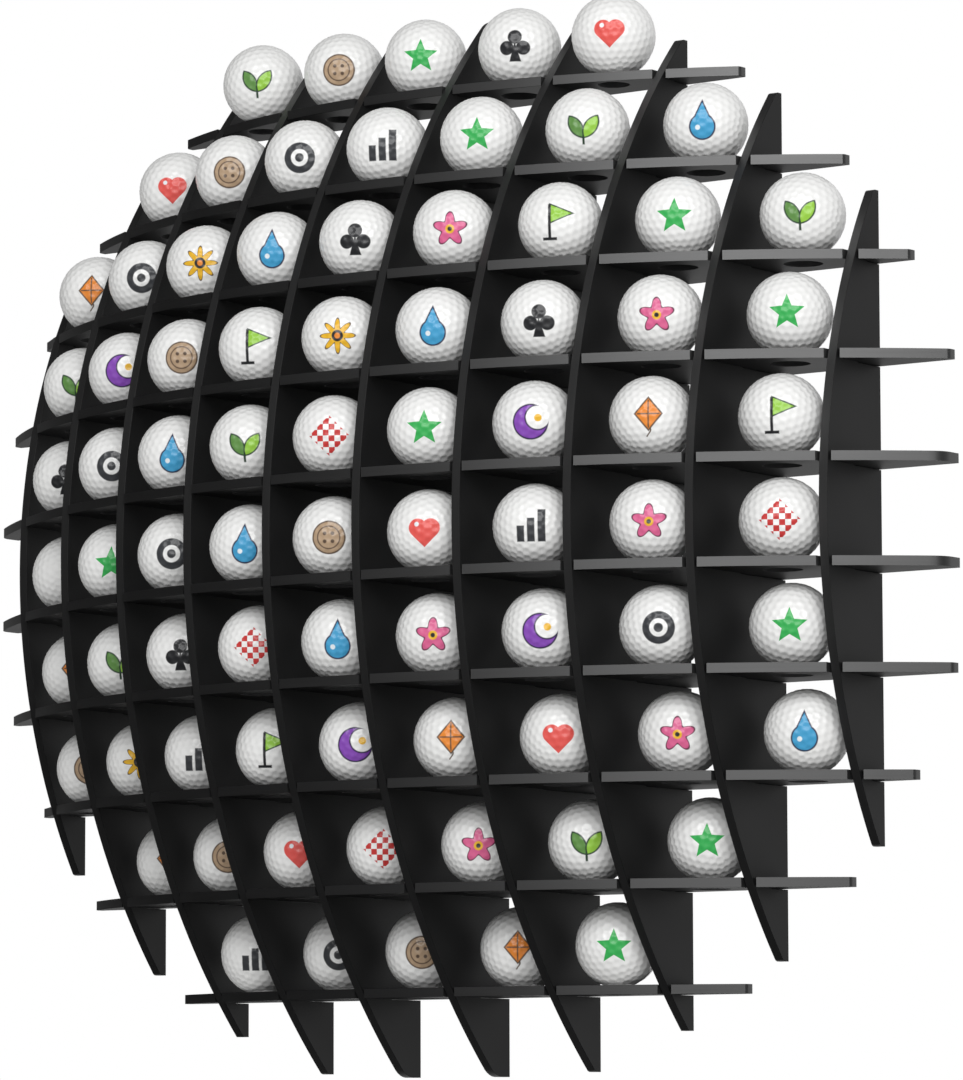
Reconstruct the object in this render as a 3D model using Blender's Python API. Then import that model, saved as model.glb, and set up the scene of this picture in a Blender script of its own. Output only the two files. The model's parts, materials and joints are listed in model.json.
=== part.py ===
"""Wall display rack for golf balls: a dome of crossed black sheets with one ball to a cell.

Ten uprights and ten shelves are cut from flat sheet and slide into each other by half-lap
slots, with no screws or glue. Every front edge follows one domed surface, every rear edge
lies in the wall plane. Each cell's shelf has a round seat hole that keeps its ball in place.

Metres, +Z up, +X to the viewer's right, the wall plane is Y = 0 and the room is at -Y.
The origin is the middle of the rack in the wall plane.
"""
import math

import bmesh
import bpy

MM = 0.001

# Driving dimensions: plates and the cells between them
UPRIGHT_COUNT = 10            # counted from the left, from 1
SHELF_COUNT = 10              # counted from the top, from 1
TOP_SHELF = 1                 # nothing stands over its balls, so they lift straight out
FILLED_SHELF_STEP = 2         # every second shelf carries balls, and the cells between are free
SHEET = 4.8 * MM              # thickness of every plate
BALL_DIAMETER = 42.67 * MM
CELL_SIDE_ROOM = 8.53 * MM    # width of a cell beyond its ball's, half of it on each side
CELL_TOP_ROOM = 5.68 * MM     # height of a cell over its seated ball

# Driving dimensions: the domed front
DOME_DEPTH = 129.5 * MM        # wall plane to the front of the dome, at its middle
RIM_PAST_UPRIGHTS = 61.5 * MM  # the dome meets the wall this far past the outermost uprights
RIM_PAST_SHELVES = 55.3 * MM   # and this far past the top and bottom shelves
SHELF_OVERHANG = 46.3 * MM     # no shelf reaches further than this past the outermost uprights
UPRIGHT_OVERHANG = 42.3 * MM   # no upright reaches further than this past the outermost shelves
END_FLAT = 4.9 * MM            # blunt end left on each plate where the dome runs out
END_ROUNDING = 1.4 * MM        # rounding of the corner between that end and the front edge
TRIMMED_ROUNDING = 5.0 * MM    # the same, on the plates that the overhang cuts short
UPRIGHT_SETBACK = 0.5 * MM     # an upright's front edge lies this far behind the shelves'

# Driving dimensions: half-lap joints
REAR_SLOT_PLAY = 0.3 * MM     # each side of a shelf in an upright's rear slot
FRONT_SLOT_PLAY = 0.8 * MM    # each side of an upright in a shelf's front slot
LAP_GAP = 0.3 * MM            # left between the two slot bottoms of one joint

# Driving dimensions: ball seats
SEAT_HOLE_DIAMETER = 20.0 * MM
SEAT_WEB = 2.5 * MM           # least sheet between a hole and the front edge; the hole shrinks to it
BALL_WALL_GAP = 0.5 * MM      # least gap from a ball to the wall
BALL_SEAT_GAP = 0.3 * MM      # gap that a resting ball keeps to the rim of its seat

# Driving dimensions: notches that hang the rack on two wall screws
HANGING_UPRIGHTS = (4, 7)
HANGING_SHELF = 2             # the notches are in the bay under this shelf
SCREW_HEAD_ROOM = 9.0 * MM    # height of the notch's mouth
NOTCH_LIP = 2.0 * MM          # lip that the screw head catches behind
NOTCH_POCKET = 4.0 * MM       # room for the head behind the lip
NOTCH_CATCH = 3.0 * MM        # how far the pocket runs up behind the lip

# Fineness of curves
FRONT_STEPS_PER_PITCH = 4
SEAT_HOLE_SIDES = 16
CORNER_SEGMENTS = 4
BALL_SUBDIVISIONS = 2

# Finishes: colour, roughness
SHEET_BLACK = ((0.018, 0.018, 0.019, 1.0), 0.42)
BALL_WHITE = ((0.86, 0.86, 0.84, 1.0), 0.22)

# Sizes that follow
BALL_RADIUS = BALL_DIAMETER / 2
SEAT_RADIUS = SEAT_HOLE_DIAMETER / 2
SEATED_MIDDLE = math.sqrt((BALL_RADIUS + BALL_SEAT_GAP) ** 2 - SEAT_RADIUS ** 2)  # over the shelf
COLUMN_PITCH = SHEET + BALL_DIAMETER + CELL_SIDE_ROOM
ROW_PITCH = SHEET + SEATED_MIDDLE + BALL_RADIUS + CELL_TOP_ROOM
OUTERMOST_UPRIGHT = (UPRIGHT_COUNT - 1) / 2 * COLUMN_PITCH
OUTERMOST_SHELF = (SHELF_COUNT - 1) / 2 * ROW_PITCH
RIM_HALF_WIDTH = OUTERMOST_UPRIGHT + RIM_PAST_UPRIGHTS
RIM_HALF_HEIGHT = OUTERMOST_SHELF + RIM_PAST_SHELVES
SIDE_REACH = OUTERMOST_UPRIGHT + SHELF_OVERHANG
TOP_REACH = OUTERMOST_SHELF + UPRIGHT_OVERHANG


def clear_scene():
    """Remove every object that the file starts with."""
    for item in list(bpy.data.objects):
        bpy.data.objects.remove(item, do_unlink=True)


def make_material(name, finish):
    """A plain plastic material of one colour and roughness."""
    colour, roughness = finish
    material = bpy.data.materials.new(name)
    material.use_nodes = True
    shader = material.node_tree.nodes["Principled BSDF"]
    shader.inputs["Base Color"].default_value = colour
    shader.inputs["Roughness"].default_value = roughness
    shader.inputs["Metallic"].default_value = 0.0
    material.diffuse_color = colour
    return material


def add_object(name, bm, material):
    """Turn a finished bmesh into a named object of one material."""
    bmesh.ops.recalc_face_normals(bm, faces=bm.faces)
    mesh = bpy.data.meshes.new(name)
    bm.to_mesh(mesh)
    bm.free()
    mesh.materials.append(material)
    item = bpy.data.objects.new(name, mesh)
    bpy.context.scene.collection.objects.link(item)
    return item


# The domed front surface

def dome_radius():
    """Radius of the sphere that has the dome's depth over its half width."""
    return (RIM_HALF_WIDTH ** 2 + DOME_DEPTH ** 2) / (2 * DOME_DEPTH)


def dome_depth(x, z):
    """How far the dome stands off the wall plane at x, z; zero outside its rim."""
    radius = dome_radius()
    stretched = z * RIM_HALF_WIDTH / RIM_HALF_HEIGHT
    inside = radius ** 2 - x ** 2 - stretched ** 2
    sunk = radius - DOME_DEPTH
    return max(math.sqrt(max(inside, 0.0)) - sunk, 0.0)


def half_length(fixed, rim_along, rim_across, reach):
    """Half the length of the plate at `fixed`: to its blunt end, but no further than its reach."""
    radius = dome_radius()
    across = fixed * RIM_HALF_WIDTH / rim_across
    level = radius - DOME_DEPTH + END_FLAT
    left = max(radius ** 2 - level ** 2 - across ** 2, 0.0)
    return min(math.sqrt(left) * rim_along / RIM_HALF_WIDTH, reach)


# Places of the plates

def upright_x(number):
    return (number - 1) * COLUMN_PITCH - OUTERMOST_UPRIGHT


def shelf_z(number):
    return OUTERMOST_SHELF - (number - 1) * ROW_PITCH


def upright_half_height(number):
    return half_length(upright_x(number), RIM_HALF_HEIGHT, RIM_HALF_WIDTH, TOP_REACH)


def shelf_half_width(number):
    return half_length(shelf_z(number), RIM_HALF_WIDTH, RIM_HALF_HEIGHT, SIDE_REACH)


def plates_cross(upright, shelf):
    """True where an upright and a shelf are both long enough to meet in a half-lap joint."""
    margin = SHEET / 2 + FRONT_SLOT_PLAY + END_FLAT
    wide_enough = abs(upright_x(upright)) + margin < shelf_half_width(shelf)
    tall_enough = abs(shelf_z(shelf)) + margin < upright_half_height(upright)
    return wide_enough and tall_enough


def lap_depth(upright, shelf):
    """Distance from the wall plane to the middle of a half-lap joint."""
    return dome_depth(upright_x(upright), shelf_z(shelf)) / 2


def cell_columns(shelf):
    """Numbers of the uprights that have a ball between them and the next, on this shelf."""
    return [upright for upright in range(1, UPRIGHT_COUNT)
            if plates_cross(upright, shelf) and plates_cross(upright + 1, shelf)]


# Ball seats

def front_arc_radius(shelf):
    """Radius of the arc that a shelf's front edge follows, seen from above."""
    stretched = shelf_z(shelf) * RIM_HALF_WIDTH / RIM_HALF_HEIGHT
    return math.sqrt(dome_radius() ** 2 - stretched ** 2)


def seat_place(column, shelf):
    """Middle of the seat hole to the right of upright `column`: x, and distance off the wall.

    The ball is flush with the shelf's front edge, or close to the wall where the shelf is shallow.
    """
    x = upright_x(column) + COLUMN_PITCH / 2
    sunk = dome_radius() - DOME_DEPTH
    flush = math.sqrt((front_arc_radius(shelf) - BALL_RADIUS) ** 2 - x ** 2) - sunk
    return x, max(flush, BALL_RADIUS + BALL_WALL_GAP)


def seat_radius(column, shelf):
    """Radius of a seat hole, less than the others' where the front edge is close."""
    x, off_wall = seat_place(column, shelf)
    from_arc_middle = math.hypot(x, off_wall + dome_radius() - DOME_DEPTH)
    return min(SEAT_RADIUS, front_arc_radius(shelf) - from_arc_middle - SEAT_WEB)


def seated_height(column, shelf):
    """Height of a ball's middle over its shelf, when the ball rests on the rim of its hole."""
    return math.sqrt((BALL_RADIUS + BALL_SEAT_GAP) ** 2 - seat_radius(column, shelf) ** 2)


# Outlines: points are (distance along the plate, distance off the wall plane)

def rear_slot(middle, half_width, bottom):
    """A slot that opens at the rear edge, for an outline that runs towards the plate's far end."""
    return [(middle - half_width, 0.0), (middle - half_width, bottom),
            (middle + half_width, bottom), (middle + half_width, 0.0)]


def hanging_notch(middle):
    """An undercut notch in the rear edge: a screw head goes in and catches behind its lip."""
    low = middle - SCREW_HEAD_ROOM / 2
    high = middle + SCREW_HEAD_ROOM / 2
    back = NOTCH_LIP + NOTCH_POCKET
    return [(low, 0.0), (low, back), (high + NOTCH_CATCH, back),
            (high + NOTCH_CATCH, NOTCH_LIP), (high, NOTCH_LIP), (high, 0.0)]


def front_points(start, end, depth_at, pitch):
    """Points of the domed front edge from start to end, both ends included."""
    steps = max(1, round(abs(end - start) / pitch * FRONT_STEPS_PER_PITCH))
    places = [start + (end - start) * step / steps for step in range(steps + 1)]
    return [(place, depth_at(place)) for place in places]


def upright_outline(number):
    """Outline of one upright, up its rear edge and back down its domed front edge."""
    x = upright_x(number)
    reach = upright_half_height(number)
    crossed = [shelf for shelf in range(SHELF_COUNT, 0, -1) if plates_cross(number, shelf)]
    cuts = {}
    for shelf in crossed:
        bottom = lap_depth(number, shelf) + LAP_GAP / 2
        middle = shelf_z(shelf)
        cuts[middle] = rear_slot(middle, SHEET / 2 + REAR_SLOT_PLAY, bottom)
    if number in HANGING_UPRIGHTS:
        middle = shelf_z(HANGING_SHELF) - ROW_PITCH / 2
        cuts[middle] = hanging_notch(middle)
    points = [(-reach, 0.0)]
    for middle in sorted(cuts):
        points += cuts[middle]
    points.append((reach, 0.0))
    points += front_points(reach, -reach, lambda z: dome_depth(x, z) - UPRIGHT_SETBACK, ROW_PITCH)
    return points


def shelf_outline(number):
    """Outline of one shelf, along its rear edge and back along its slotted front edge."""
    z = shelf_z(number)
    reach = shelf_half_width(number)
    points = [(-reach, 0.0), (reach, 0.0)]
    place = reach
    half_slot = SHEET / 2 + FRONT_SLOT_PLAY
    for upright in range(UPRIGHT_COUNT, 0, -1):
        if not plates_cross(upright, number):
            continue
        middle = upright_x(upright)
        bottom = lap_depth(upright, number) - LAP_GAP / 2
        points += front_points(place, middle + half_slot, lambda x: dome_depth(x, z), COLUMN_PITCH)
        points += [(middle + half_slot, bottom), (middle - half_slot, bottom)]
        place = middle - half_slot
    points += front_points(place, -reach, lambda x: dome_depth(x, z), COLUMN_PITCH)
    return points


def seat_hole_outlines(number):
    """One round loop for each ball seat of a shelf."""
    loops = []
    for column in cell_columns(number):
        x, off_wall = seat_place(column, number)
        radius = seat_radius(column, number)
        turn = 2 * math.pi / SEAT_HOLE_SIDES
        loops.append([(x + radius * math.cos(turn * side), off_wall + radius * math.sin(turn * side))
                      for side in range(SEAT_HOLE_SIDES)])
    return loops


# Solids

def add_loop(bm, points, to_world):
    """A closed loop of edges through the points; returns its corners in order."""
    corners = [bm.verts.new(to_world(along, off_wall)) for along, off_wall in points]
    for before, after in zip(corners, corners[1:] + corners[:1]):
        bm.edges.new((before, after))
    return corners


def cut_plate(outline, holes, rounding, to_world, thickness_way):
    """Cut a flat plate from sheet: an outline with round front corners and any holes."""
    bm = bmesh.new()
    rim = add_loop(bm, outline, to_world)
    for hole in holes:
        add_loop(bm, hole, to_world)
    bmesh.ops.triangle_fill(bm, edges=bm.edges, use_beauty=True, normal=thickness_way)
    reach = max(along for along, off_wall in outline)
    front_corners = [corner for corner, (along, off_wall) in zip(rim, outline)
                     if abs(along) == reach and off_wall > 0.0]
    bmesh.ops.bevel(bm, geom=front_corners, affect='VERTICES', offset=rounding,
                    offset_type='OFFSET', segments=CORNER_SEGMENTS, profile=0.5, material=-1)
    sheet = bmesh.ops.extrude_face_region(bm, geom=bm.faces[:])
    moved = [item for item in sheet["geom"] if isinstance(item, bmesh.types.BMVert)]
    bmesh.ops.translate(bm, verts=bm.verts, vec=[-SHEET / 2 * part for part in thickness_way])
    bmesh.ops.translate(bm, verts=moved, vec=[SHEET * part for part in thickness_way])
    return bm


def corner_rounding(reach, limit):
    """Plates that the overhang cuts short have deep ends, with a larger rounding."""
    return TRIMMED_ROUNDING if reach >= limit else END_ROUNDING


def add_upright(number, material):
    """One vertical divider, slotted from behind."""
    x = upright_x(number)
    rounding = corner_rounding(upright_half_height(number), TOP_REACH)
    bm = cut_plate(upright_outline(number), [], rounding,
                   lambda along, off_wall: (0.0, -off_wall, along), (1.0, 0.0, 0.0))
    item = add_object(f"upright_{number:02d}", bm, material)
    item.location.x = x
    return item


def add_shelf(number, material):
    """One shelf, slotted from the front, with a seat hole for each ball."""
    rounding = corner_rounding(shelf_half_width(number), SIDE_REACH)
    bm = cut_plate(shelf_outline(number), seat_hole_outlines(number), rounding,
                   lambda along, off_wall: (along, -off_wall, 0.0), (0.0, 0.0, 1.0))
    item = add_object(f"shelf_{number:02d}", bm, material)
    item.location.z = shelf_z(number)
    return item


def add_ball(name, column, shelf, material):
    """One ball, resting on the rim of its seat hole."""
    x, off_wall = seat_place(column, shelf)
    bm = bmesh.new()
    bmesh.ops.create_icosphere(bm, subdivisions=BALL_SUBDIVISIONS, radius=BALL_RADIUS)
    for face in bm.faces:
        face.smooth = True
    item = add_object(name, bm, material)
    item.location = (x, -off_wall, shelf_z(shelf) + SHEET / 2 + seated_height(column, shelf))
    return item


def main():
    clear_scene()
    black = make_material("black_sheet", SHEET_BLACK)
    white = make_material("ball_cover", BALL_WHITE)
    rack = bpy.data.objects.new("rack", None)
    bpy.context.scene.collection.objects.link(rack)
    pieces = [add_upright(number, black) for number in range(1, UPRIGHT_COUNT + 1)]
    pieces += [add_shelf(number, black) for number in range(1, SHELF_COUNT + 1)]
    pieces += [add_ball(f"top_ball_{place}", column, TOP_SHELF, white)
               for place, column in enumerate(cell_columns(TOP_SHELF), start=1)]
    pieces += [add_ball(f"ball_row_{shelf:02d}_column_{column}", column, shelf, white)
               for shelf in range(TOP_SHELF + FILLED_SHELF_STEP, SHELF_COUNT + 1, FILLED_SHELF_STEP)
               for column in cell_columns(shelf)]
    for piece in pieces:
        piece.parent = rack


main()
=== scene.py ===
"""Looks of the golf ball display rack: cut sheets, dimpled balls with prints, light and camera.

Metres, +Z up, +X to the viewer's right, the wall plane is Y = 0 and the room is at -Y.
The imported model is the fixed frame: each sheet is finished from its own CAD solid, and each
ball stands over the seat hole of its cell.
"""
from __future__ import annotations

import json
import logging
import math
import random
from dataclasses import dataclass, field
from enum import Enum
from typing import Any, Callable

import bmesh
import bpy
import numpy as np
from mathutils import Matrix, Vector

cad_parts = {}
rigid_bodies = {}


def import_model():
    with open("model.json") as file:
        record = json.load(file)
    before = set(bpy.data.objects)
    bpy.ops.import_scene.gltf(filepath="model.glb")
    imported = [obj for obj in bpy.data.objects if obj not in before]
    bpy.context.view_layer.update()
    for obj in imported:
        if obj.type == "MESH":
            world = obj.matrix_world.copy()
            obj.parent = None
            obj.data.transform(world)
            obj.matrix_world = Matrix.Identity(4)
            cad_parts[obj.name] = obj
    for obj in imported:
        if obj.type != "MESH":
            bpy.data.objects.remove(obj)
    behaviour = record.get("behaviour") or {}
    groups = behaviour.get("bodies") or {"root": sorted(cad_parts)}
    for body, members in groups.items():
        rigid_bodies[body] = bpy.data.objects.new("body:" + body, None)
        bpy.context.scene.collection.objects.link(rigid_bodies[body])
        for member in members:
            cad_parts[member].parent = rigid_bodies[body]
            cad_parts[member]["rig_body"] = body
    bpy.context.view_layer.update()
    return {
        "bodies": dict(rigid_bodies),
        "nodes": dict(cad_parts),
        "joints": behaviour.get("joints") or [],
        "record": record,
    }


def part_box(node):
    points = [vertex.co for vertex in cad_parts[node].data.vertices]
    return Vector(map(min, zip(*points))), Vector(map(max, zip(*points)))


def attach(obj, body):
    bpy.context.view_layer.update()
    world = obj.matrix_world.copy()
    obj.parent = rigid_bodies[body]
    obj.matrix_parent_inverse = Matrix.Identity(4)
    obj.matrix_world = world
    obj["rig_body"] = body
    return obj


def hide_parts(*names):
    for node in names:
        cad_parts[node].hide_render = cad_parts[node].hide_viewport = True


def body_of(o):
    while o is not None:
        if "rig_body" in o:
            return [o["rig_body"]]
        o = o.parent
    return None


MM = 0.001
log = logging.getLogger("rack")

Colour = tuple[float, float, float]


def from_hex(code: str) -> Colour:
    """Turn a hex colour into linear red, green and blue.

    Args:
        code: six hex digits.

    Returns:
        Three linear values from 0 to 1.
    """
    def linear(value: float) -> float:
        """One sRGB channel as a linear value."""
        return value / 12.92 if value <= 0.04045 else ((value + 0.055) / 1.055) ** 2.4

    red, green, blue = (linear(int(code[start:start + 2], 16) / 255) for start in (0, 2, 4))
    return (red, green, blue)


# Shader maths

class Graph:
    """One material's node tree, with a single way to add nodes."""

    def __init__(self, name: str) -> None:
        """Start an empty material.

        Args:
            name: the material's name.
        """
        self._open(bpy.data.materials.new(name))

    @classmethod
    def of_world(cls, world: bpy.types.World) -> "Graph":
        """Start the empty node tree of a world.

        Args:
            world: the world.

        Returns:
            Its graph.
        """
        graph = cls.__new__(cls)
        graph._open(world)
        return graph

    def _open(self, owner: bpy.types.Material | bpy.types.World) -> None:
        """Empty the node tree of a material or world."""
        owner.use_nodes = True
        self.owner = owner
        self.tree = owner.node_tree
        self.tree.nodes.clear()

    def node(self, kind: str, settings: dict[str, Any] | None = None,
             sockets: dict[Any, Any] | None = None) -> bpy.types.Node:
        """Add a node.

        Args:
            kind: Blender's type name of the node.
            settings: the node's own properties, set first.
            sockets: values or links of its inputs, by name or place.

        Returns:
            The new node.
        """
        item = self.tree.nodes.new(kind)
        for key, value in (settings or {}).items():
            setattr(item, key, value)
        for key, value in (sockets or {}).items():
            self._feed(item.inputs[key], value)
        return item

    def _feed(self, socket: bpy.types.NodeSocket, value: Any) -> None:
        """Link a socket to a value's socket, or set its own number or colour."""
        if isinstance(value, Value):
            value = value.socket
        if isinstance(value, bpy.types.NodeSocket):
            self.tree.links.new(value, socket)
        elif isinstance(value, tuple) and len(value) == 3 and socket.type == "RGBA":
            socket.default_value = (*value, 1.0)
        else:
            socket.default_value = value

    def mix(self, factor: Any, first: Any, second: Any) -> bpy.types.NodeSocket:
        """Mix two colours.

        Args:
            factor: 0 for the first, 1 for the second.
            first: a colour or its socket.
            second: a colour or its socket.

        Returns:
            The mixed colour's socket.
        """
        item = self.node("ShaderNodeMix", {"data_type": "RGBA"}, {0: factor, 6: first, 7: second})
        return item.outputs[2]

    def noise(self, place: Any, scale: float, detail: float = 2.0) -> "Value":
        """Noise from 0 to 1 at a place."""
        item = self.node("ShaderNodeTexNoise", {"noise_dimensions": "3D"},
                         {"Vector": place, "Scale": scale, "Detail": detail})
        return Value(self, item.outputs[0])

    def object_place(self, stretch: tuple[float, float, float] = (1.0, 1.0, 1.0)) -> Any:
        """The object's own coordinates, stretched by a Mapping node."""
        place = self.node("ShaderNodeTexCoord").outputs["Object"]
        return self.node("ShaderNodeMapping",
                         sockets={"Vector": place, "Scale": stretch}).outputs[0]

    def bump(self, height: "Value", strength: float, distance: float) -> bpy.types.NodeSocket:
        """A normal bumped by a height from 0 to 1 that stands for a distance in metres."""
        item = self.node("ShaderNodeBump", sockets={"Height": height, "Strength": strength,
                                                    "Distance": distance})
        return item.outputs[0]

    def finish(self, sockets: dict[str, Any]) -> bpy.types.Material:
        """Close the tree with one Principled shader.

        Args:
            sockets: values or links of the shader's inputs.

        Returns:
            The finished material.
        """
        shader = self.node("ShaderNodeBsdfPrincipled", sockets=sockets)
        self.node("ShaderNodeOutputMaterial", sockets={"Surface": shader.outputs[0]})
        return self.owner


class Value:
    """A number in a node tree; expressions on it add Math nodes."""

    def __init__(self, graph: Graph, socket: bpy.types.NodeSocket) -> None:
        """Wrap one output socket.

        Args:
            graph: the tree that the socket is in.
            socket: the number's output socket.
        """
        self.graph = graph
        self.socket = socket

    def math(self, operation: str, *others: Any, first: Any = None) -> "Value":
        """Add one Math node.

        Args:
            operation: the node's operation.
            others: the inputs that follow this value.
            first: an input that comes before this value.

        Returns:
            The node's result.
        """
        inputs = [self, *others] if first is None else [first, self, *others]
        item = self.graph.node("ShaderNodeMath", {"operation": operation}, dict(enumerate(inputs)))
        return Value(self.graph, item.outputs[0])

    def __add__(self, other: Any) -> "Value":
        """Sum."""
        return self.math("ADD", other)

    def __sub__(self, other: Any) -> "Value":
        """Difference."""
        return self.math("SUBTRACT", other)

    def __rsub__(self, other: Any) -> "Value":
        """Difference from a number."""
        return self.math("SUBTRACT", first=other)

    def __mul__(self, other: Any) -> "Value":
        """Product."""
        return self.math("MULTIPLY", other)

    def __truediv__(self, other: Any) -> "Value":
        """Quotient."""
        return self.math("DIVIDE", other)

    __radd__ = __add__
    __rmul__ = __mul__

    def __abs__(self) -> "Value":
        """Size without sign."""
        return self.math("ABSOLUTE")

    def clamp(self) -> "Value":
        """The value kept from 0 to 1."""
        item = self.graph.node("ShaderNodeClamp", sockets={"Value": self})
        return Value(self.graph, item.outputs[0])


# Prints on the balls. Places are in ball radii from the middle of the print.

@dataclass(frozen=True)
class Ink:
    """Colours of the prints."""

    green: Colour = from_hex("2fae52")
    charcoal: Colour = from_hex("3b3d41")
    yellow: Colour = from_hex("e7b21c")
    black: Colour = from_hex("26272a")
    purple: Colour = from_hex("8546b4")
    red: Colour = from_hex("c8312f")
    leaf: Colour = from_hex("5f8f45")
    lime: Colour = from_hex("93c83d")
    coral: Colour = from_hex("e2534c")
    tan: Colour = from_hex("b2977a")
    umber: Colour = from_hex("5d4a3a")
    blue: Colour = from_hex("3b9ccb")
    pink: Colour = from_hex("d9608f")
    orange: Colour = from_hex("e8882a")
    dusk: Colour = from_hex("2c2547")
    pine: Colour = from_hex("24402c")
    wine: Colour = from_hex("5e2340")
    pale: Colour = from_hex("e6eef2")


@dataclass
class PrintPlace:
    """Where a point of the ball lies in its print.

    Attributes:
        across: to the print's right.
        up: to the print's top.
        softness: width of the ink's edge.
        line_width: of the line round a shape.
    """

    across: Value
    up: Value
    softness: float = 0.022
    line_width: float = 0.035

    def away(self, across: float = 0.0, up: float = 0.0) -> Value:
        """Distance from a point of the print."""
        wide = self.across - across
        high = self.up - up
        return (wide * wide + high * high).math("SQRT")

    def turn(self) -> Value:
        """Angle from the print's top, clockwise."""
        return self.across.math("ARCTAN2", self.up)

    def inside(self, distance: Value) -> Value:
        """1 where a signed distance is below zero, with a soft edge."""
        return (0.5 - distance / self.softness).clamp()

    def disc(self, radius: float, across: float = 0.0, up: float = 0.0) -> Value:
        """A filled circle."""
        return self.inside(self.away(across, up) - radius)

    def box(self, half_width: float, half_height: float, across: float = 0.0,
            up: float = 0.0) -> Value:
        """A filled rectangle."""
        wide = abs(self.across - across) - half_width
        return self.inside(wide.math("MAXIMUM", abs(self.up - up) - half_height))

    def outlined(self, distance: Value, colour: Colour, line: Colour) -> "list[Layer]":
        """A filled shape, given by its signed distance, with a darker line round it."""
        return [(self.inside(distance - self.line_width), line), (self.inside(distance), colour)]


Layer = tuple[Value, Colour]


def star(at: PrintPlace, ink: Ink) -> list[Layer]:
    """A five-pointed star."""
    points, outer, inner = 5, 0.44, 0.195
    half_step = math.pi / points
    folded = abs((at.turn() / (2 * half_step) + 0.5).math("FLOORED_MODULO", 1.0) - 0.5)
    angle = folded * (2 * half_step)
    slope = (outer / inner - math.cos(half_step)) / math.sin(half_step)
    edge = at.away() * (angle.math("COSINE") + angle.math("SINE") * slope)
    return [(at.inside(edge - outer), ink.green)]


def rings(at: PrintPlace, ink: Ink) -> list[Layer]:
    """A dot in a broad ring."""
    ring = at.inside(abs(at.away() - 0.30) - 0.085)
    return [(ring, ink.charcoal), (at.disc(0.11), ink.charcoal)]


def daisy(at: PrintPlace, ink: Ink) -> list[Layer]:
    """Eight yellow petals round a black middle with an orange dot."""
    petals = at.away() - 0.29 - (at.turn() * 8).math("COSINE") * 0.12
    return [*at.outlined(petals, ink.yellow, ink.umber), (at.disc(0.14), ink.black),
            (at.disc(0.07), ink.orange)]


def crescent(at: PrintPlace, ink: Ink) -> list[Layer]:
    """A crescent with a small dot."""
    moon = (at.away() - 0.39).math("MAXIMUM", 0.31 - at.away(0.17, 0.10))
    return [*at.outlined(moon, ink.purple, ink.dusk), (at.disc(0.09, 0.18, 0.09), ink.yellow)]


def chequers(at: PrintPlace, ink: Ink) -> list[Layer]:
    """Red chequers in a square that stands on its corner."""
    cell, half = 0.14, 0.49
    column = (at.across / cell).math("FLOOR")
    row = (at.up / cell).math("FLOOR")
    odd = (column + row).math("FLOORED_MODULO", 2.0)
    return [(odd * at.inside(abs(at.across) + abs(at.up) - half), ink.red)]


def leaves(at: PrintPlace, ink: Ink) -> list[Layer]:
    """Two leaves of unlike green on one stem, each between two circles."""
    bow, middle = 0.38, 0.21
    layers = [(at.box(0.028, 0.15, 0.0, -0.28), ink.pine)]
    for side, colour in ((-1, ink.leaf), (1, ink.lime)):
        one = at.away(side * (0.18 - middle), 0.13) - bow
        other = at.away(side * (0.18 + middle), -0.13) - bow
        layers += at.outlined(one.math("MAXIMUM", other), colour, ink.pine)
    return layers


def heart(at: PrintPlace, ink: Ink) -> list[Layer]:
    """A heart: a square on its corner, with half a disc on each upper side."""
    half = 0.31
    square = abs(at.across) + abs(at.up + 0.08) - half
    wide = abs(at.across) - half / 2
    high = at.up + 0.08 - half / 2
    lobe = (wide * wide + high * high).math("SQRT") - half / math.sqrt(2)
    shine = at.disc(0.055, -0.18, 0.16)
    return [(at.inside(square.math("MINIMUM", lobe)), ink.coral), (shine, ink.pale)]


def club(at: PrintPlace, ink: Ink) -> list[Layer]:
    """A club of three discs on a stem."""
    discs = [at.disc(0.175, across, up)
             for across, up in ((0, 0.20), (-0.20, -0.07), (0.20, -0.07))]
    stem = abs(at.across) - 0.04 + (at.up + 0.05) * 0.30
    foot = stem.math("MAXIMUM", abs(at.up + 0.16) - 0.24)
    return [(mask, ink.black) for mask in (*discs, at.inside(foot))]


def button(at: PrintPlace, ink: Ink) -> list[Layer]:
    """A sewing button with four holes."""
    rim = at.inside(abs(at.away() - 0.27) - 0.015)
    holes = [at.disc(0.045, across, up) for across in (-0.095, 0.095) for up in (-0.095, 0.095)]
    return [*at.outlined(at.away() - 0.37, ink.tan, ink.umber), (rim, ink.umber),
            *((hole, ink.umber) for hole in holes)]


def droplet(at: PrintPlace, ink: Ink) -> list[Layer]:
    """A drop of water."""
    point = (abs(at.across) - (0.46 - at.up) * 0.46).math("MAXIMUM", -0.02 - at.up)
    bowl = at.away(0.0, -0.13) - 0.285
    shine = at.disc(0.06, -0.11, -0.15)
    drop = point.math("MINIMUM", bowl)
    return [*at.outlined(drop, ink.blue, ink.dusk), (shine, ink.pale)]


def blossom(at: PrintPlace, ink: Ink) -> list[Layer]:
    """Five pink petals round a yellow middle with a black dot."""
    petals = at.away() - 0.30 - (at.turn() * 5).math("COSINE") * 0.10
    return [*at.outlined(petals, ink.pink, ink.wine), (at.disc(0.11), ink.yellow),
            (at.disc(0.055), ink.black)]


def pennant(at: PrintPlace, ink: Ink) -> list[Layer]:
    """A pennant on a pole."""
    slope = abs(at.up - 0.19) - (0.36 - at.across) * 0.42
    cloth = slope.math("MAXIMUM", -0.14 - at.across)
    return [*at.outlined(cloth, ink.lime, ink.pine), (at.box(0.035, 0.42, -0.16), ink.black),
            (at.box(0.17, 0.035, -0.16, -0.41), ink.black)]


def bars(at: PrintPlace, ink: Ink) -> list[Layer]:
    """Three bars, each taller than the last."""
    heights = ((-0.25, 0.19), (0.0, 0.28), (0.25, 0.38))
    return [(at.box(0.09, half, across, half - 0.38), ink.charcoal) for across, half in heights]


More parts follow.
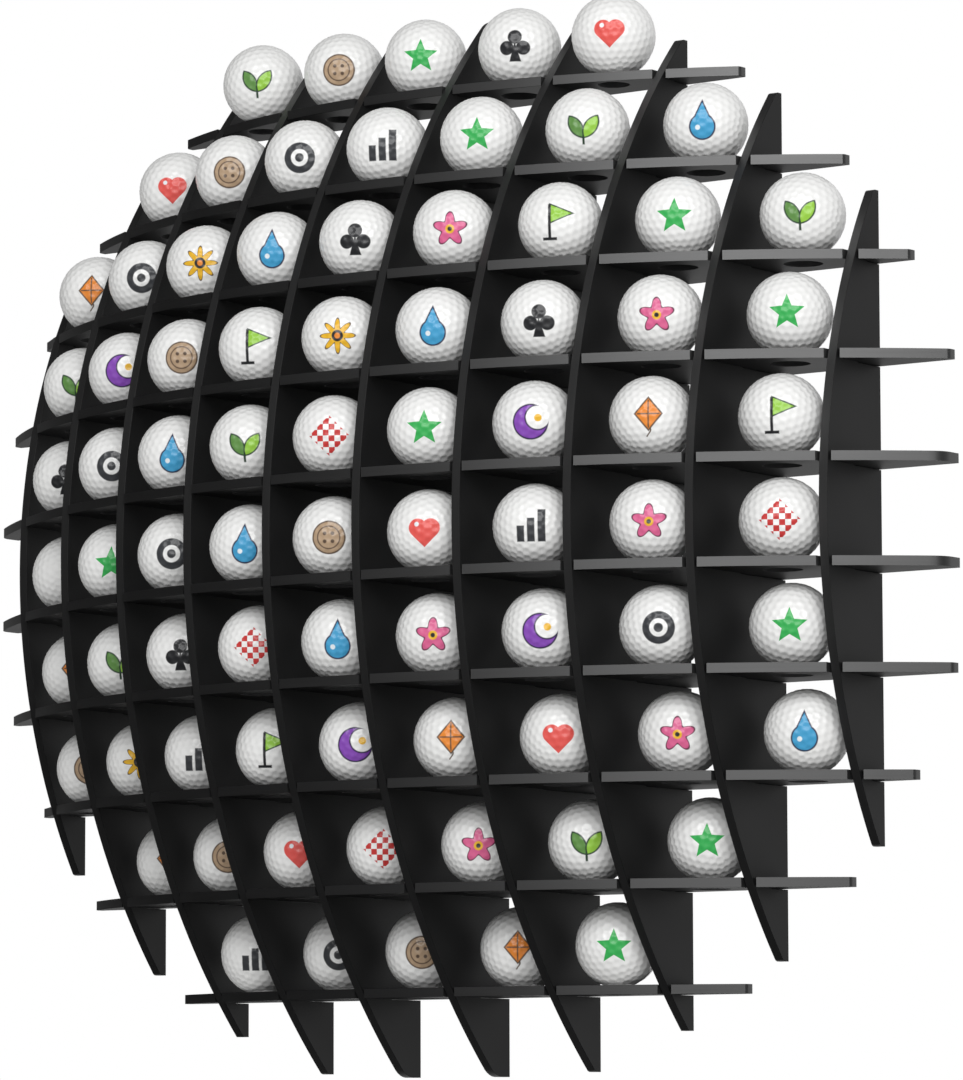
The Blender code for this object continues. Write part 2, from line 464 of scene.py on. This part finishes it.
def kite(at: PrintPlace, ink: Ink) -> list[Layer]:
    """A kite with a cross spar and a tail."""
    shape = (abs(at.across) / 0.30 + abs(at.up - 0.08) / 0.36 - 1.0) * 0.23
    tail = at.inside(abs(at.across - (at.up * 16).math("SINE") * 0.05) - 0.018)
    hanging = tail * at.box(0.12, 0.10, 0.0, -0.36)
    return [(hanging, ink.umber), *at.outlined(shape, ink.orange, ink.umber),
            (at.box(0.016, 0.33, 0.0, 0.08), ink.umber),
            (at.box(0.27, 0.016, 0.0, 0.08), ink.umber)]


class Motif(Enum):
    """The prints, each by the function that draws it; BARE has none."""

    STAR = "star"
    RINGS = "rings"
    DAISY = "daisy"
    CRESCENT = "crescent"
    CHEQUERS = "chequers"
    LEAVES = "leaves"
    HEART = "heart"
    CLUB = "club"
    BUTTON = "button"
    DROPLET = "droplet"
    BLOSSOM = "blossom"
    PENNANT = "pennant"
    BARS = "bars"
    KITE = "kite"
    BARE = "bare"


DRAWINGS: dict[Motif, Callable[[PrintPlace, Ink], list[Layer]]] = {
    Motif.STAR: star, Motif.RINGS: rings, Motif.DAISY: daisy, Motif.CRESCENT: crescent,
    Motif.CHEQUERS: chequers, Motif.LEAVES: leaves, Motif.HEART: heart, Motif.CLUB: club,
    Motif.BUTTON: button, Motif.DROPLET: droplet, Motif.BLOSSOM: blossom,
    Motif.PENNANT: pennant, Motif.BARS: bars, Motif.KITE: kite,
}


# Finishes

@dataclass(frozen=True)
class BallCover:
    """White cover under a clear coat, with a printed motif.

    Attributes:
        white: colour of the cover.
        shade: the same where it is least clean.
        roughness: of the cover.
        coat: weight of the clear coat.
        coat_roughness: of the clear coat.
        cloud_scale: of the faint clouding that runs over the cover, per metre.
        cloud_roughness: how much the roughness varies with it.
        print_roughness: how much rougher the print is.
        ink: the prints' colours.
    """

    white: Colour = (0.88, 0.88, 0.87)
    shade: Colour = (0.82, 0.82, 0.81)
    roughness: float = 0.42
    coat: float = 0.40
    coat_roughness: float = 0.20
    cloud_scale: float = 55.0
    cloud_roughness: float = 0.12
    print_roughness: float = 0.08
    ink: Ink = field(default_factory=Ink)

    def material(self, motif: Motif, attribute: str) -> bpy.types.Material:
        """Make the cover's material with one print.

        Args:
            motif: the print.
            attribute: name of the points' attribute that holds their place in the print.

        Returns:
            The material.
        """
        graph = Graph(f"ball_{motif.value}")
        cloud = graph.noise(graph.object_place(), self.cloud_scale, 3.0)
        colour = graph.mix(cloud, self.shade, self.white)
        printed: Any = None
        if motif in DRAWINGS:
            place = graph.node("ShaderNodeAttribute", {"attribute_name": attribute})
            parts = graph.node("ShaderNodeSeparateXYZ", sockets={"Vector": place.outputs["Vector"]})
            at = PrintPlace(Value(graph, parts.outputs[0]), Value(graph, parts.outputs[1]))
            for mask, tint in DRAWINGS[motif](at, self.ink):
                colour = graph.mix(mask, colour, tint)
                printed = mask if printed is None else printed.math("MAXIMUM", mask)
        roughness = self.roughness + (0.5 - cloud) * -self.cloud_roughness
        if printed is not None:
            roughness = roughness + printed * self.print_roughness
        return graph.finish({"Base Color": colour, "Roughness": roughness,
                             "Coat Weight": self.coat, "Coat Roughness": self.coat_roughness})


class Grain(Enum):
    """How a sheet lies: its cut edges are streaked along the sheet, and not across it."""

    UPRIGHT = (900.0, 14.0, 14.0)
    SHELF = (14.0, 14.0, 900.0)


@dataclass(frozen=True)
class BlackSheet:
    """Black plastic sheet: satin faces, and cut edges with a stronger sheen.

    Attributes:
        face: darkest and palest colour of a face.
        edge: darkest and palest colour of a cut edge.
        face_roughness: least and greatest roughness of a face.
        edge_roughness: the same of a cut edge.
        edge_ior: refractive index of a cut edge, whose sheen is stronger than a face's.
        face_sheen: strength of a face's sheen, 0.5 for plain plastic.
        hole: darkest and palest colour of a hole's wall, far paler than a cut edge's: painted light
            on the wall.
        hole_roughness: least and greatest roughness of a hole's wall.
        smear_scale: of the smears on a face, per metre.
        grain_scale: of a face's fine grain, per metre.
        speck_scale: of the specks on a cut edge, per metre.
        face_relief: strength and height of a face's grain.
        edge_relief: the same of a cut edge's streaks.
    """

    face: tuple[Colour, Colour] = ((0.0022, 0.0022, 0.0024), (0.0055, 0.0055, 0.0058))
    edge: tuple[Colour, Colour] = ((0.002, 0.002, 0.0022), (0.006, 0.006, 0.0063))
    face_roughness: tuple[float, float] = (0.48, 0.60)
    edge_roughness: tuple[float, float] = (0.46, 0.54)
    edge_ior: float = 1.68
    face_sheen: float = 0.30
    # A hole's wall is coloured about ten times paler than the cut edges: painted light on the wall.
    hole: tuple[Colour, Colour] = ((0.030, 0.030, 0.031), (0.060, 0.060, 0.062))
    hole_roughness: tuple[float, float] = (0.7, 0.8)
    smear_scale: float = 17.0
    grain_scale: float = 1400.0
    speck_scale: float = 600.0
    face_relief: tuple[float, float] = (0.25, 0.03 * MM)
    edge_relief: tuple[float, float] = (0.35, 0.05 * MM)

    def face_material(self) -> bpy.types.Material:
        """Satin face with a fine grain and faint smears."""
        graph = Graph("sheet_face")
        place = graph.object_place()
        smear = graph.noise(place, self.smear_scale, 4.0)
        grain = graph.noise(place, self.grain_scale, 1.0)
        low, high = self.face_roughness
        return graph.finish({
            "Base Color": graph.mix(smear, *self.face),
            "Roughness": smear * (high - low) + low,
            "Specular IOR Level": self.face_sheen,
            "Normal": graph.bump(grain, *self.face_relief),
        })

    def edge_material(self, grain: Grain) -> bpy.types.Material:
        """Cut edge with fine streaks left by the cutter."""
        graph = Graph(f"sheet_edge_{grain.name.lower()}")
        streak = graph.noise(graph.object_place(grain.value), 1.0, 3.0)
        speck = graph.noise(graph.object_place(), self.speck_scale, 2.0)
        level = (streak * 0.7 + speck * 0.3).clamp()
        low, high = self.edge_roughness
        return graph.finish({
            "Base Color": graph.mix(level, *self.edge),
            "Roughness": level * (high - low) + low,
            "IOR": self.edge_ior,
            "Specular IOR Level": 1.0,
            "Normal": graph.bump(level, *self.edge_relief),
        })

    def painted_light_hole_material(self) -> bpy.types.Material:
        """Matt wall of a cut hole, coloured far paler than a cut edge as painted light on the wall.
        """
        graph = Graph("sheet_hole_painted_light")
        streak = graph.noise(graph.object_place(Grain.SHELF.value), 1.0, 3.0)
        low, high = self.hole_roughness
        # The pale colour of the wall is painted light.
        return graph.finish({"Base Color": graph.mix(streak, *self.hole),
                             "Roughness": streak * (high - low) + low})


# Pieces

@dataclass
class Dome:
    """The domed front that the sheets' front edges follow.

    Attributes:
        depth: from the wall plane to its front.
        half_width: where it would meet the wall plane, sideways.
        half_height: the same, upwards.
    """

    depth: float = 129.5 * MM
    half_width: float = 313.5 * MM
    half_height: float = 284.8 * MM

    @property
    def sunk(self) -> float:
        """How far the dome's middle point lies behind the wall plane."""
        return (self.half_width ** 2 - self.depth ** 2) / (2 * self.depth)

    def arc_radius(self, z: float) -> float:
        """Radius of the arc that the dome cuts out of a shelf at height z."""
        stretched = z * self.half_width / self.half_height
        return math.sqrt((self.sunk + self.depth) ** 2 - stretched ** 2)

    def depth_at(self, x: float, z: float) -> float:
        """How far the dome stands off the wall plane at x, z."""
        return math.sqrt(max(self.arc_radius(z) ** 2 - x ** 2, 0.0)) - self.sunk


@dataclass
class Seat:
    """One cell's ball.

    Attributes:
        row: of the cell, counted from the top.
        column: number of the upright at its left, counted from the left.
        middle: of the ball.
        node: the CAD ball that stands there, if there is one.
        body: the CAD body that carries the ball.
    """

    row: int
    column: int
    middle: Vector
    node: str | None = None
    body: str = "rack"


@dataclass
class SheetRack:
    """The ten uprights and ten shelves, each finished from its CAD solid.

    Attributes:
        dome: surface that the front edges follow.
        setback: how far the uprights' front edges lie behind it.
        front_error: a point no further than this from the front's curve belongs to it.
        front_step: a front edge longer than this is cut finer.
        front_cuts: further points on such an edge.
        hole_reach: from a hole's middle, just past its wall.
        chamfer: width of the broken edge along every cut.
        weld: points closer than this are one.
        flat_angle: faces that differ by less are one flat face.
        sharp_angle: an edge that turns more than this is shaded sharp.
        broad_facing: a broad face's normal has more than this along the thin axis.
        faced: a face whose normal has more than this along it gets the broad faces' finish.
        finish: the sheet's finish.
    """

    dome: Dome = field(default_factory=Dome)
    setback: float = 0.5 * MM
    front_error: float = 0.2 * MM
    front_step: float = 4.0 * MM
    front_cuts: int = 3
    hole_reach: float = 10.4 * MM
    chamfer: float = 0.12 * MM
    weld: float = 0.01 * MM
    flat_angle: float = math.radians(0.3)
    sharp_angle: float = math.radians(25.0)
    broad_facing: float = 0.99
    faced: float = 0.5
    finish: BlackSheet = field(default_factory=BlackSheet)

    def build(self, frame: dict[str, Any], seats: list[Seat]) -> None:
        """Make and dress every sheet.

        Args:
            seats: of the balls, which stand over the shelves' holes.
        """
        face = self.finish.face_material()
        edges = {grain: self.finish.edge_material(grain) for grain in Grain}
        # The holes' walls get the material with painted light in its colour.
        hole = self.finish.painted_light_hole_material()
        for node in sorted(frame["nodes"]):
            if node.startswith("upright_"):
                self._add_sheet(frame["nodes"][node], node, 0, [], [face, edges[Grain.UPRIGHT]])
            elif node.startswith("shelf_"):
                holes = [seat.middle.xy for seat in seats if node == f"shelf_{seat.row:02d}"]
                self._add_sheet(frame["nodes"][node], node, 2, holes,
                                [face, edges[Grain.SHELF], hole])

    def _add_sheet(self, solid: bpy.types.Object, node: str, thin_axis: int,
                   holes: list[Vector], materials: list[bpy.types.Material]) -> None:
        """Finish one sheet.

        Args:
            solid: the CAD object, which stays as it is.
            node: its node's name.
            thin_axis: the axis that the sheet is thin along.
            holes: middles of its holes, seen from above.
            materials: of its faces, its cut edges and the walls of its holes.
        """
        bm = bmesh.new()
        bm.from_mesh(solid.data)
        bmesh.ops.remove_doubles(bm, verts=bm.verts, dist=self.weld)
        bmesh.ops.dissolve_limit(bm, angle_limit=self.flat_angle, verts=bm.verts, edges=bm.edges)
        self._round_front(bm, thin_axis)

        def is_side(part: bmesh.types.BMFace) -> bool:
            """True for one of the sheet's two broad faces."""
            return abs(part.normal[thin_axis]) > self.broad_facing

        def finish_of(part: bmesh.types.BMFace) -> int:
            """Place of a face's material in the list; a broken edge has the broad face's."""
            if abs(part.normal[thin_axis]) > self.faced:
                return 0
            middle = part.calc_center_median().xy
            return 2 if any((middle - hole).length < self.hole_reach for hole in holes) else 1

        rims = [edge for edge in bm.edges if len(edge.link_faces) == 2
                and is_side(edge.link_faces[0]) != is_side(edge.link_faces[1])]
        bmesh.ops.bevel(bm, geom=rims, offset=self.chamfer, offset_type='OFFSET', segments=1,
                        profile=0.5, affect='EDGES', clamp_overlap=True, material=-1)
        bm.normal_update()
        for part in bm.faces:
            part.smooth = True
            part.material_index = finish_of(part)
        for edge in bm.edges:
            edge.smooth = edge.calc_face_angle(math.pi) < self.sharp_angle
        mesh = bpy.data.meshes.new(f"{node}_sheet")
        bm.to_mesh(mesh)
        bm.free()
        for material in materials:
            mesh.materials.append(material)
        sheet = bpy.data.objects.new(f"{node}_sheet", mesh)
        bpy.context.scene.collection.objects.link(sheet)
        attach(sheet, "rack")
        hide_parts(node)
        log.info("%s: %d faces", sheet.name, len(mesh.polygons))

    def _round_front(self, bm: bmesh.types.BMesh, thin_axis: int) -> None:
        """Cut the domed front edge finer, and put its points on the dome."""
        middle = sum((point.co for point in bm.verts), Vector()) / len(bm.verts)

        def off_curve(point: bmesh.types.BMVert) -> float:
            """How far a point lies in front of the curve that the sheet is cut to."""
            if thin_axis == 0:
                return -point.co.y - self.dome.depth_at(middle.x, point.co.z) + self.setback
            return -point.co.y - self.dome.depth_at(point.co.x, middle.z)

        steps = [edge for edge in bm.edges if edge.calc_length() > self.front_step
                 and all(abs(off_curve(point)) < self.front_error for point in edge.verts)
                 and abs(edge.verts[0].co[thin_axis] - edge.verts[1].co[thin_axis]) < self.weld]
        bmesh.ops.subdivide_edges(bm, edges=steps, cuts=self.front_cuts)
        for point in bm.verts:
            error = off_curve(point)
            if abs(error) < self.front_error:
                point.co.y += error
        bm.normal_update()


@dataclass
class BallSet:
    """The golf balls, one to a cell.

    Attributes:
        radius: of a ball, over its dimples' rims.
        wall_gap: least gap from a ball to the wall plane.
        seat_gap: gap from a ball to the rim of its seat hole.
        hole_radius: of a seat hole.
        hole_web: least sheet between a hole and the front edge; the hole shrinks to it.
        base_cuts: cuts of each side of the icosahedron; its points are the dimples' middles.
        fine_cuts: further cuts of each side, for the dimples' shape.
        dimple_radius: of a dimple's rim.
        dimple_depth: at its middle.
        facing: direction that every print faces, in the frame.
        bare_seat: row and column of the one ball without a print.
        print_attribute: name of the points' attribute that holds their place in the print.
        print_scale: size of the prints' unit in ball radii.
        far_shift: puts a point of the ball's far half off the print, in the prints' unit.
        turn_seed: of the balls' turns.
        motif_seed: of the prints' order.
        dome: surface that the shelves' front edges follow.
        cover: the balls' finish.
    """

    radius: float = 21.335 * MM
    wall_gap: float = 0.5 * MM
    seat_gap: float = 0.3 * MM
    hole_radius: float = 10.0 * MM
    hole_web: float = 2.5 * MM
    base_cuts: int = 5
    fine_cuts: int = 4
    dimple_radius: float = 2.05 * MM
    dimple_depth: float = 0.42 * MM
    facing: Vector = field(default_factory=lambda: Vector((0.468, -0.881, -0.070)))
    bare_seat: tuple[int, int] = (6, 1)
    print_attribute: str = "print_place"
    print_scale: float = 0.97
    far_shift: float = 9.0
    turn_seed: int = 78
    motif_seed: int = 5
    dome: Dome = field(default_factory=Dome)
    cover: BallCover = field(default_factory=BallCover)

    def seats(self, frame: dict[str, Any]) -> list[Seat]:
        """Find every cell that holds a ball.


        Returns:
            The seats, row by row from the top left.
        """
        uprights = [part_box(node) for node in sorted(frame["nodes"]) if node.startswith("upright_")]
        shelves = [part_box(node) for node in sorted(frame["nodes"]) if node.startswith("shelf_")]
        balls = {node: sum(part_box(node), Vector()) / 2 for node in frame["nodes"] if "ball" in node}
        found = []
        for row, (shelf_low, shelf_high) in enumerate(shelves, start=1):
            z = (shelf_low.z + shelf_high.z) / 2
            crossing = [(number, (low.x + high.x) / 2)
                        for number, (low, high) in enumerate(uprights, start=1)
                        if shelf_low.x < low.x and high.x < shelf_high.x
                        and low.z < shelf_low.z and shelf_high.z < high.z]
            for (column, left), (_, right) in zip(crossing, crossing[1:]):
                middle = self._on_shelf((left + right) / 2, z) + Vector((0.0, 0.0, shelf_high.z))
                seat = Seat(row, column, middle)
                for node, place in balls.items():
                    if (place - middle).length < self.radius:
                        seat.node = node
                        seat.body = body_of(frame["nodes"][node])[0]
                found.append(seat)
        return found

    def _on_shelf(self, x: float, z: float) -> Vector:
        """Middle of a ball at x on the shelf at height z, measured up from the shelf's top.

        The ball is flush with the shelf's front edge, or close to the wall if that is shallow.
        """
        arc, sunk = self.dome.arc_radius(z), self.dome.sunk
        flush = math.sqrt((arc - self.radius) ** 2 - x ** 2) - sunk
        off_wall = max(flush, self.radius + self.wall_gap)
        room = arc - math.hypot(x, off_wall + sunk) - self.hole_web
        hole = min(self.hole_radius, room)
        height = math.sqrt((self.radius + self.seat_gap) ** 2 - hole ** 2)
        return Vector((x, -off_wall, height))

    def dimpled_mesh(self) -> bpy.types.Mesh:
        """Model one ball: a finely cut icosahedron, sunk at each dimple.

        Returns:
            The mesh, centred on the origin.
        """
        bm = bmesh.new()
        bmesh.ops.create_icosphere(bm, subdivisions=1, radius=self.radius)
        bmesh.ops.subdivide_edges(bm, edges=bm.edges, cuts=self.base_cuts, use_grid_fill=True)
        for point in bm.verts:
            point.co = point.co.normalized() * self.radius
        middles = np.array([point.co for point in bm.verts])
        bmesh.ops.subdivide_edges(bm, edges=bm.edges, cuts=self.fine_cuts, use_grid_fill=True)
        points = np.array([point.co.normalized() * self.radius for point in bm.verts])
        nearest = np.sqrt(((points[:, None] - middles[None]) ** 2).sum(axis=2).min(axis=1))
        sunk = np.clip(1.0 - (nearest / self.dimple_radius) ** 2, 0.0, 1.0) * self.dimple_depth
        for point, place, depth in zip(bm.verts, points, sunk):
            point.co = Vector(place * (1.0 - depth / self.radius))
        bmesh.ops.recalc_face_normals(bm, faces=bm.faces)
        for part in bm.faces:
            part.smooth = True
        mesh = bpy.data.meshes.new("dimpled_ball")
        bm.to_mesh(mesh)
        bm.free()
        log.info("one ball: %d dimples, %d faces", len(middles), len(mesh.polygons))
        return mesh

    def build(self, seats: list[Seat]) -> None:
        """Make every ball, turned its own way, with its print towards the viewer.

        Args:
            seats: every cell that holds a ball.
        """
        draw = random.Random(self.turn_seed)
        base = self.dimpled_mesh()
        materials = {motif: self.cover.material(motif, self.print_attribute) for motif in Motif}
        rows = self._mix_motifs(random.Random(self.motif_seed), seats[-1].row)
        for seat in seats:
            turned = Matrix.Rotation(draw.uniform(0, 2 * math.pi), 4, draw_axis(draw))
            mesh = base.copy()
            mesh.transform(turned)
            self._place_print(mesh)
            mesh.transform(Matrix.Translation(seat.middle))
            bare = (seat.row, seat.column) == self.bare_seat
            choice = Motif.BARE if bare else rows[seat.row][seat.column]
            self._add_ball(seat, mesh, materials[choice])
        bpy.data.meshes.remove(base)

    @staticmethod
    def _mix_motifs(draw: random.Random, last_row: int) -> dict[int, list[Motif]]:
        """An order of the prints for each row, with no print under or beside its like."""
        rows: dict[int, list[Motif]] = {0: []}
        for row in range(1, last_row + 1):
            while row not in rows:
                order = draw.sample(list(DRAWINGS), len(DRAWINGS))
                if all(new is not old for new, old in zip(order, rows[row - 1])):
                    rows[row] = order
        return rows

    def _place_print(self, mesh: bpy.types.Mesh) -> None:
        """Store each point's place in the print; the far half lies off the print."""
        facing = np.array(self.facing.normalized())
        right = np.cross(np.array((0.0, 0.0, 1.0)), facing)
        right /= np.linalg.norm(right)
        up = np.cross(facing, right)
        points = np.zeros(len(mesh.vertices) * 3)
        mesh.vertices.foreach_get("co", points)
        points = points.reshape(-1, 3) / (self.radius * self.print_scale)
        place = np.stack([points @ right, points @ up, points @ facing], axis=1)
        place[place[:, 2] < 0.0, 0:2] += self.far_shift
        layer = mesh.attributes.new(self.print_attribute, "FLOAT_VECTOR", "POINT")
        layer.data.foreach_set("vector", place.astype(np.float32).ravel())

    def _add_ball(self, seat: Seat, mesh: bpy.types.Mesh, material: bpy.types.Material) -> None:
        """Add one ball on the body that carries it."""
        name = f"printed_ball_row_{seat.row:02d}_column_{seat.column}"
        mesh.name = name
        mesh.materials.append(material)
        ball = bpy.data.objects.new(name, mesh)
        bpy.context.scene.collection.objects.link(ball)
        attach(ball, seat.body)
        if seat.node:
            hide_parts(seat.node)
        log.info("%s at %s", name, tuple(round(part, 4) for part in seat.middle))


def draw_axis(draw: random.Random) -> Vector:
    """A random direction from a seeded source."""
    return Vector((draw.gauss(0, 1), draw.gauss(0, 1), draw.gauss(0, 1))).normalized()


# Studio

@dataclass
class Studio:
    """Camera, soft light, white surroundings and a pale floor.

    Attributes:
        camera_place: where the camera stands.
        yaw: its turn to the left of the wall's normal, in degrees.
        pitch: how far it looks up, in degrees.
        roll: its turn about its own axis, in degrees.
        lens: focal length for a frame 36 mm high.
        floor_height: height of the floor.
        floor_half: half its width.
        soft_light: mean strength of the light that comes from all round.
        soft_from_below: how much stronger it is straight from below, and weaker from above.
        room_level: brightness, in reflections, of the room that the rack faces.
        backdrop_start: how far towards the wall a reflection starts to show the backdrop.
    """

    camera_place: tuple[float, float, float] = (1.653, -2.299, -0.2953)
    yaw: float = 35.494
    pitch: float = 6.044
    roll: float = -0.141
    lens: float = 183.74
    floor_height: float = -1.25
    floor_half: float = 1.6
    soft_light: float = 0.47
    soft_from_below: float = 0.8
    room_level: float = 0.01
    backdrop_start: float = 0.2

    def build(self) -> None:
        """Make the whole studio."""
        self._add_camera()
        self._add_world()
        self._add_lamp("key", azimuth=35.0, elevation=24.0, distance=2.6,
                       size=(2.6, 1.3), watts=58.0)
        self._add_floor()
        bpy.context.scene.view_settings.view_transform = "Standard"

    def _add_camera(self) -> None:
        """The photograph's camera."""
        yaw, pitch, roll = (math.radians(angle) for angle in (self.yaw, self.pitch, self.roll))
        ahead = Vector((-math.sin(yaw) * math.cos(pitch), math.cos(yaw) * math.cos(pitch),
                        math.sin(pitch)))
        level = Vector((math.cos(yaw), math.sin(yaw), 0.0))
        above = level.cross(ahead)
        right = level * math.cos(roll) + above * math.sin(roll)
        up = above * math.cos(roll) - level * math.sin(roll)
        data = bpy.data.cameras.new("photo_camera")
        data.sensor_fit = "VERTICAL"
        data.sensor_height = 36.0
        data.lens = self.lens
        data.clip_start = 0.05
        data.clip_end = 60.0
        camera = bpy.data.objects.new("photo_camera", data)
        turned = Matrix((right, up, -ahead)).transposed().to_4x4()
        camera.matrix_world = Matrix.Translation(self.camera_place) @ turned
        bpy.context.scene.collection.objects.link(camera)
        bpy.context.scene.camera = camera

    def _add_world(self) -> None:
        """A white backdrop, also in reflections of the wall's side, and a dimmer soft light."""
        world = bpy.data.worlds.new("studio")
        bpy.context.scene.world = world
        graph = Graph.of_world(world)
        path = graph.node("ShaderNodeLightPath")
        way = graph.node("ShaderNodeTexCoord").outputs["Generated"]
        parts = graph.node("ShaderNodeSeparateXYZ", sockets={"Vector": way})
        backdrop = ((Value(graph, parts.outputs[1]) - self.backdrop_start)
                    / (1.0 - self.backdrop_start)).clamp()
        mirrored = backdrop * (1.0 - self.room_level) + self.room_level
        bounced = Value(graph, path.outputs["Is Glossy Ray"]).math(
            "MAXIMUM", path.outputs["Is Transmission Ray"])
        direct = Value(graph, path.outputs["Is Camera Ray"])
        soft = (1.0 - Value(graph, parts.outputs[2]) * self.soft_from_below) * self.soft_light
        strength = (1.0 - bounced) * soft + bounced * mirrored
        strength = strength * (1.0 - direct) + direct
        shader = graph.node("ShaderNodeBackground",
                            sockets={"Color": (1.0, 1.0, 1.0), "Strength": strength})
        graph.node("ShaderNodeOutputWorld", sockets={"Surface": shader.outputs[0]})

    @staticmethod
    def _add_lamp(name: str, azimuth: float, elevation: float, distance: float,
                  size: tuple[float, float], watts: float) -> None:
        """Add one soft lamp that points at the rack.

        Args:
            name: the lamp's name.
            azimuth: degrees to the right of straight ahead of the rack.
            elevation: degrees above it.
            distance: metres from it.
            size: width and height of the lamp's face.
            watts: its power.
        """
        turn, lift = math.radians(azimuth), math.radians(elevation)
        way = Vector((math.sin(turn) * math.cos(lift), -math.cos(turn) * math.cos(lift),
                      math.sin(lift)))
        data = bpy.data.lights.new(name, "AREA")
        data.shape = "RECTANGLE"
        data.size, data.size_y = size
        data.energy = watts
        lamp = bpy.data.objects.new(name, data)
        lamp.location = way * distance
        lamp.rotation_euler = way.to_track_quat("Z", "Y").to_euler()
        bpy.context.scene.collection.objects.link(lamp)

    def _add_floor(self) -> None:
        """A wide pale floor, far enough below to stay out of the camera's view."""
        bm = bmesh.new()
        bmesh.ops.create_grid(bm, x_segments=1, y_segments=1, size=self.floor_half)
        bmesh.ops.translate(bm, verts=bm.verts, vec=(0.0, 0.0, self.floor_height))
        mesh = bpy.data.meshes.new("floor")
        bm.to_mesh(mesh)
        bm.free()
        graph = Graph("floor_paint")
        cloud = graph.noise(graph.object_place(), 1.5, 2.0)
        mesh.materials.append(graph.finish({
            "Base Color": graph.mix(cloud, (0.80, 0.80, 0.79), (0.84, 0.84, 0.83)),
            "Roughness": 0.7}))
        floor = bpy.data.objects.new("floor", mesh)
        bpy.context.scene.collection.objects.link(floor)
        floor.visible_glossy = False


def main() -> None:
    """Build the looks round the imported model."""
    logging.basicConfig(level=logging.INFO, format="%(name)s: %(message)s")
    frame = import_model()
    Studio().build()
    balls = BallSet()
    seats = balls.seats(frame)
    SheetRack().build(frame, seats)
    balls.build(seats)


if __name__ == "__main__":
    main()
